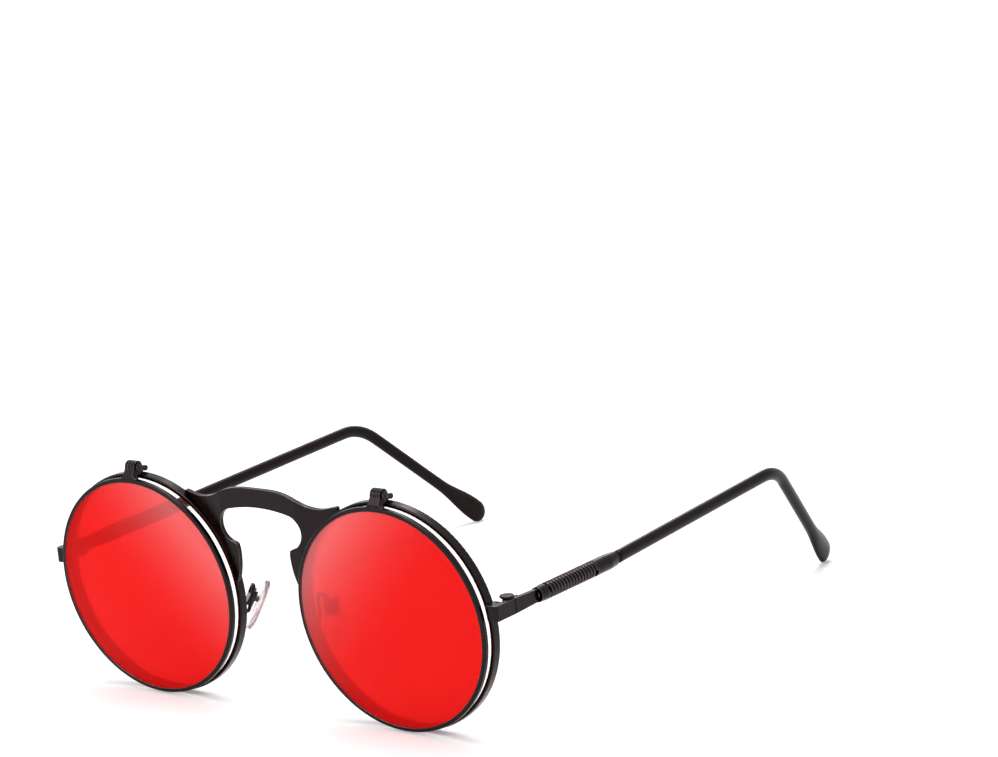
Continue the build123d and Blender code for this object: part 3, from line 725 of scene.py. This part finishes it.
def ear_sleeve(sizes, side, finish):
    """One smooth sleeve: a ring of points at each place of the middle line, closed at both ends."""
    line = middle_line(sizes)
    mesh = bmesh.new()
    rings = []
    for place, heading in line[:-1]:
        across = (Vector((1, 0, 0)) - heading * heading.x).normalized()
        up = across.cross(heading)
        half_width, half_height = sleeve_section(sizes, (SLEEVE_END - place).dot(line[-1][1]))
        ring = []
        for step in range(SLEEVE_AROUND):
            angle = 2 * pi * step / SLEEVE_AROUND
            point = place + across * half_width * cos(angle) + up * half_height * sin(angle)
            ring.append(mesh.verts.new(point))
        rings.append(ring)
    rings.append([mesh.verts.new(line[-1][0])])
    join_rings(mesh, rings)
    mouth = mesh.faces.new(rings[0][::-1])
    crease = mesh.edges.layers.float.new("crease_edge")
    for edge in mouth.edges:
        edge[crease] = MOUTH_CREASE
    for vert in mesh.verts:
        # The underside of the tip rests on the table.
        vert.co.z = max(vert.co.z, 0.0)
        if side == "right":
            vert.co.x = -vert.co.x
    bmesh.ops.recalc_face_normals(mesh, faces=mesh.faces)
    return as_piece(mesh, f"black_ear_sleeve_{side}", finish)


class FLIPUPS_OT_ear_sleeves(bpy.types.Operator):
    """Draws the two black ear sleeves with their paddle tips"""

    bl_idname = "flipups.ear_sleeves"
    bl_label = "Mould the ear sleeves"

    def execute(self, context):
        sizes = context.scene.flipups.sleeves
        finish = acetate_tumbled_black(sizes)
        for side in SIDES:
            piece = ear_sleeve(sizes, side, finish)
            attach(piece, f"temple_{side}")
            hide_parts(f"ear_sleeve_{side}")
        return {"FINISHED"}


# ---- Nose pads ----------------------------------------------------------------------------------
def silicone_moulded_clear(sizes):
    """Silicone, moulded round the lug.

    Clear with a trace of rose and a faint satin from the mould, so what is behind it shows
    softened.
    """
    finish, tree, surface, _ = bare_material("silicone_moulded_clear")
    place = add_node(tree, "ShaderNodeTexCoord").outputs["Object"]
    # The mould's grain is about 0.05 mm and is drawn coarser, so that it breaks the highlights.
    grain = add_node(
        tree, "ShaderNodeTexNoise", {"Vector": place, "Scale": 1 / sizes.grain, "Detail": 2.0}
    )
    gloss = add_node(
        tree,
        "ShaderNodeMapRange",
        {"Value": grain.outputs["Fac"], **NOISE_SPAN, "To Min": 0.1, "To Max": 0.22},
    )
    fine = add_node(
        tree,
        "ShaderNodeBump",
        {"Height": grain.outputs["Fac"], "Strength": 0.15, "Distance": 0.00002},
    )
    tree.links.new(gloss.outputs["Result"], surface.inputs["Roughness"])
    tree.links.new(fine.outputs["Normal"], surface.inputs["Normal"])
    surface.inputs["Base Color"].default_value = sizes.silicone
    surface.inputs["Transmission Weight"].default_value = 0.92
    surface.inputs["IOR"].default_value = 1.41
    return finish


# The left pad's middle and its directions: down the pad, across it, and away from the nose.
PAD_MIDDLE = Vector((0.01105, -0.06246, 0.02168))
PAD_DOWN = Vector((0.3606, -0.3249, -0.8743))
PAD_ACROSS = Vector((0.7282, 0.6838, 0.0463))
PAD_OUT = Vector((0.5828, -0.6533, 0.4832))
# Rings of points from the middle of the face over the rim to the middle of the back: the reach of
# each as a share of the outline, and its height as a share of half the thickness.
PAD_FACE = ((0.0, -1.0), (0.45, -0.97), (0.75, -0.9), (0.93, -0.75), (1.0, -0.35))
PAD_BACK = ((0.99, 0.4), (0.92, 0.8), (0.76, 0.86), (0.55, 0.72), (0.36, 0.94), (0.0, 1.0))
PAD_AROUND = 24
# How much fuller the lower half is than an oval, as a moulded pad is.
PAD_FULLNESS = 0.09


def nose_pad(sizes, side, finish):
    """A pad with a crowned face toward the nose, a rounded rim and a dished back with a boss."""
    mesh = bmesh.new()
    rings = []
    for reach, level in (*PAD_FACE, *PAD_BACK):
        ring = []
        for step in range(PAD_AROUND if reach else 1):
            angle = 2 * pi * step / PAD_AROUND
            along = sizes.length / 2 * reach * cos(angle)
            fuller = 1 + PAD_FULLNESS * cos(angle) - PAD_FULLNESS * sin(angle) ** 2
            aside = sizes.width / 2 * reach * sin(angle) * fuller
            high = sizes.thickness / 2 * level
            point = PAD_MIDDLE + PAD_DOWN * along + PAD_ACROSS * aside + PAD_OUT * high
            if side == "right":
                point.x = -point.x
            ring.append(mesh.verts.new(point))
        rings.append(ring)
    join_rings(mesh, rings)
    bmesh.ops.recalc_face_normals(mesh, faces=mesh.faces)
    return as_piece(mesh, f"clear_nose_pad_{side}", finish)


class FLIPUPS_OT_nose_pads(bpy.types.Operator):
    """Moulds the two clear nose pads"""

    bl_idname = "flipups.nose_pads"
    bl_label = "Mould the nose pads"

    def execute(self, context):
        sizes = context.scene.flipups.pads
        finish = silicone_moulded_clear(sizes)
        for side in SIDES:
            piece = nose_pad(sizes, side, finish)
            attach(piece, f"pad_{side}")
            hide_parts(f"nose_pad_{side}")
        return {"FINISHED"}


# ---- Studio -------------------------------------------------------------------------------------
# Paper fibres are drawn 4 mm apart, because at their own size they would not show.
FIBRE_SPACING = 0.004
# The paper's lift grows from one distance to the other, up to this strength.
GLOW_NEAR, GLOW_FAR, FAR_GLOW = 0.25, 1.4, 0.6
# The paper lies a hair below the table height.
FLOOR_DROP = 0.00003
FLOOR_SIDES = 96
# Each lamp's name, place, the point it faces, its width and height, and its watts.
LAMPS = (
    ("overhead_softbox", (0.0, 0.1, 1.3), (0, 0, 0), (0.5, 1.0), 12.0),
    ("back_softbox", (-0.6, 1.1, 0.85), (0, 0, 0.03), (0.25, 1.0), 3.0),
    ("front_softbox", (-0.5, -1.2, 0.7), (0, -0.03, 0.03), (0.9, 0.7), 9.0),
)
# The camera's place and turn, its focal length and film width in millimetres, and the nearest and
# farthest things that it shows.
CAMERA_PLACE = (0.54103, -0.65396, 0.25970)
CAMERA_TURN = (1.3374441, 0.0931245, 0.6555804)
FOCAL_LENGTH, FILM_WIDTH = 133.6886, 36.0
NEAREST, FARTHEST = 0.01, 20.0


def seen_directly(tree):
    """One where the camera sees a surface, straight, mirrored or through a lens.

    It is nought for the light that the surface throws on the glasses.
    """
    path = add_node(tree, "ShaderNodeLightPath")
    seen = add_node(
        tree,
        "ShaderNodeMath",
        {0: path.outputs["Is Camera Ray"], 1: path.outputs["Is Glossy Ray"]},
        operation="MAXIMUM",
    )
    seen = add_node(
        tree,
        "ShaderNodeMath",
        {0: seen.outputs["Value"], 1: path.outputs["Is Transmission Ray"]},
        operation="MAXIMUM",
    )
    return seen.outputs["Value"]


def paper_white(sizes):
    """White background paper. It keeps the soft shadow, and it shows white where it is well lit."""
    finish = bpy.data.materials.new("paper_white_matt")
    tree = empty_tree(finish)
    place = add_node(tree, "ShaderNodeTexCoord").outputs["Object"]
    fibres = add_node(
        tree, "ShaderNodeTexNoise", {"Vector": place, "Scale": 1 / FIBRE_SPACING, "Detail": 3.0}
    )
    tooth = add_node(
        tree,
        "ShaderNodeBump",
        {"Height": fibres.outputs["Fac"], "Strength": 0.05, "Distance": 0.00005},
    )
    matt = add_node(
        tree,
        "ShaderNodeBsdfDiffuse",
        {"Color": sizes.floor, "Normal": tooth.outputs["Normal"]},
    )
    # Away from the lamps the paper would go grey, so the lift grows with the distance.
    distance = add_node(tree, "ShaderNodeVectorMath", {0: place}, operation="LENGTH")
    fill = add_node(
        tree,
        "ShaderNodeMapRange",
        {
            "Value": distance.outputs["Value"],
            "From Min": GLOW_NEAR,
            "From Max": GLOW_FAR,
            "To Min": sizes.paper_glow,
            "To Max": FAR_GLOW,
        },
    )
    lift = add_node(
        tree,
        "ShaderNodeMath",
        {0: seen_directly(tree), 1: fill.outputs["Result"]},
        operation="MULTIPLY",
    )
    glow = add_node(tree, "ShaderNodeEmission", {"Strength": lift.outputs["Value"]})
    paper = add_node(
        tree, "ShaderNodeAddShader", {0: matt.outputs["BSDF"], 1: glow.outputs["Emission"]}
    )
    add_node(tree, "ShaderNodeOutputMaterial", {"Surface": paper.outputs["Shader"]})
    return finish


def lay_floor(sizes):
    """A round sheet of paper under the glasses."""
    mesh = bmesh.new()
    bmesh.ops.create_circle(mesh, cap_ends=True, segments=FLOOR_SIDES, radius=sizes.floor_radius)
    data = bpy.data.meshes.new("paper_floor")
    mesh.to_mesh(data)
    mesh.free()
    data.materials.append(paper_white(sizes))
    floor = bpy.data.objects.new("paper_floor", data)
    floor.location = (0, 0, -FLOOR_DROP)
    bpy.context.scene.collection.objects.link(floor)


def light_surroundings(sizes):
    """Even light from all sides, which shows as plain white where it is seen."""
    world = bpy.data.worlds.new("white_room")
    bpy.context.scene.world = world
    tree = empty_tree(world)
    level = add_node(
        tree, "ShaderNodeMapRange", {"Value": seen_directly(tree), "To Min": sizes.sky}
    )
    room = add_node(
        tree,
        "ShaderNodeBackground",
        {"Color": (1.0, 1.0, 1.0, 1.0), "Strength": level.outputs["Result"]},
    )
    add_node(tree, "ShaderNodeOutputWorld", {"Surface": room.outputs["Background"]})


def hang_lamp(name, place, aim, size, watts):
    """A soft oblong lamp that faces a point."""
    light = bpy.data.lights.new(name, "AREA")
    light.shape = "RECTANGLE"
    light.size, light.size_y = size
    light.energy = watts
    lamp = bpy.data.objects.new(name, light)
    lamp.location = place
    lamp.rotation_euler = (Vector(aim) - Vector(place)).to_track_quat("-Z", "Y").to_euler()
    bpy.context.scene.collection.objects.link(lamp)


def place_camera():
    """The photograph's three-quarter view, from the wearer's left and a little above."""
    lens = bpy.data.cameras.new("view_from_the_left")
    lens.lens = FOCAL_LENGTH
    lens.sensor_width = FILM_WIDTH
    lens.clip_start = NEAREST
    lens.clip_end = FARTHEST
    camera = bpy.data.objects.new("view_from_the_left", lens)
    camera.location = CAMERA_PLACE
    camera.rotation_euler = CAMERA_TURN
    bpy.context.scene.collection.objects.link(camera)
    bpy.context.scene.camera = camera


class FLIPUPS_OT_studio(bpy.types.Operator):
    """Sets up the paper floor, the even light, the soft lamps and the camera"""

    bl_idname = "flipups.studio"
    bl_label = "Set up the studio"

    def execute(self, context):
        sizes = context.scene.flipups.studio
        context.scene.view_settings.view_transform = "Standard"
        lay_floor(sizes)
        light_surroundings(sizes)
        for lamp in LAMPS:
            hang_lamp(*lamp)
        place_camera()
        return {"FINISHED"}


# ---- Panel and registration ---------------------------------------------------------------------
OPERATORS = (
    FLIPUPS_OT_metalwork,
    FLIPUPS_OT_screws,
    FLIPUPS_OT_coils,
    FLIPUPS_OT_clear_lenses,
    FLIPUPS_OT_tinted_lenses,
    FLIPUPS_OT_ear_sleeves,
    FLIPUPS_OT_nose_pads,
    FLIPUPS_OT_studio,
)


class FLIPUPS_PT_panel(bpy.types.Panel):
    """Steps and sizes of the glasses"""

    bl_idname = "FLIPUPS_PT_panel"
    bl_label = "Round flip-up sunglasses"
    bl_space_type = "VIEW_3D"
    bl_region_type = "UI"
    bl_category = "Flip-ups"

    def draw(self, context):
        for step in OPERATORS:
            self.layout.operator(step.bl_idname)
        for group in ("metal", "lenses", "sleeves", "pads", "studio"):
            settings = getattr(context.scene.flipups, group)
            box = self.layout.box()
            box.label(text=group.capitalize())
            for name in settings.__annotations__:
                box.prop(settings, name)


CLASSES = (
    MetalSizes,
    LensSizes,
    SleeveSizes,
    PadSizes,
    StudioSizes,
    FlipUps,
    *OPERATORS,
    FLIPUPS_PT_panel,
)


def register():
    """Registers the classes and hangs the settings on the scene."""
    for cls in CLASSES:
        bpy.utils.register_class(cls)
    bpy.types.Scene.flipups = PointerProperty(type=FlipUps)


def unregister():
    """Takes the settings and the classes away again."""
    del bpy.types.Scene.flipups
    for cls in reversed(CLASSES):
        bpy.utils.unregister_class(cls)


def main():
    """Dresses the glasses step by step."""
    register()
    bpy.ops.flipups.metalwork()
    bpy.ops.flipups.screws()
    bpy.ops.flipups.coils()
    bpy.ops.flipups.clear_lenses()
    bpy.ops.flipups.tinted_lenses()
    bpy.ops.flipups.ear_sleeves()
    bpy.ops.flipups.nose_pads()
    bpy.ops.flipups.studio()


if __name__ == "__main__":
    main()
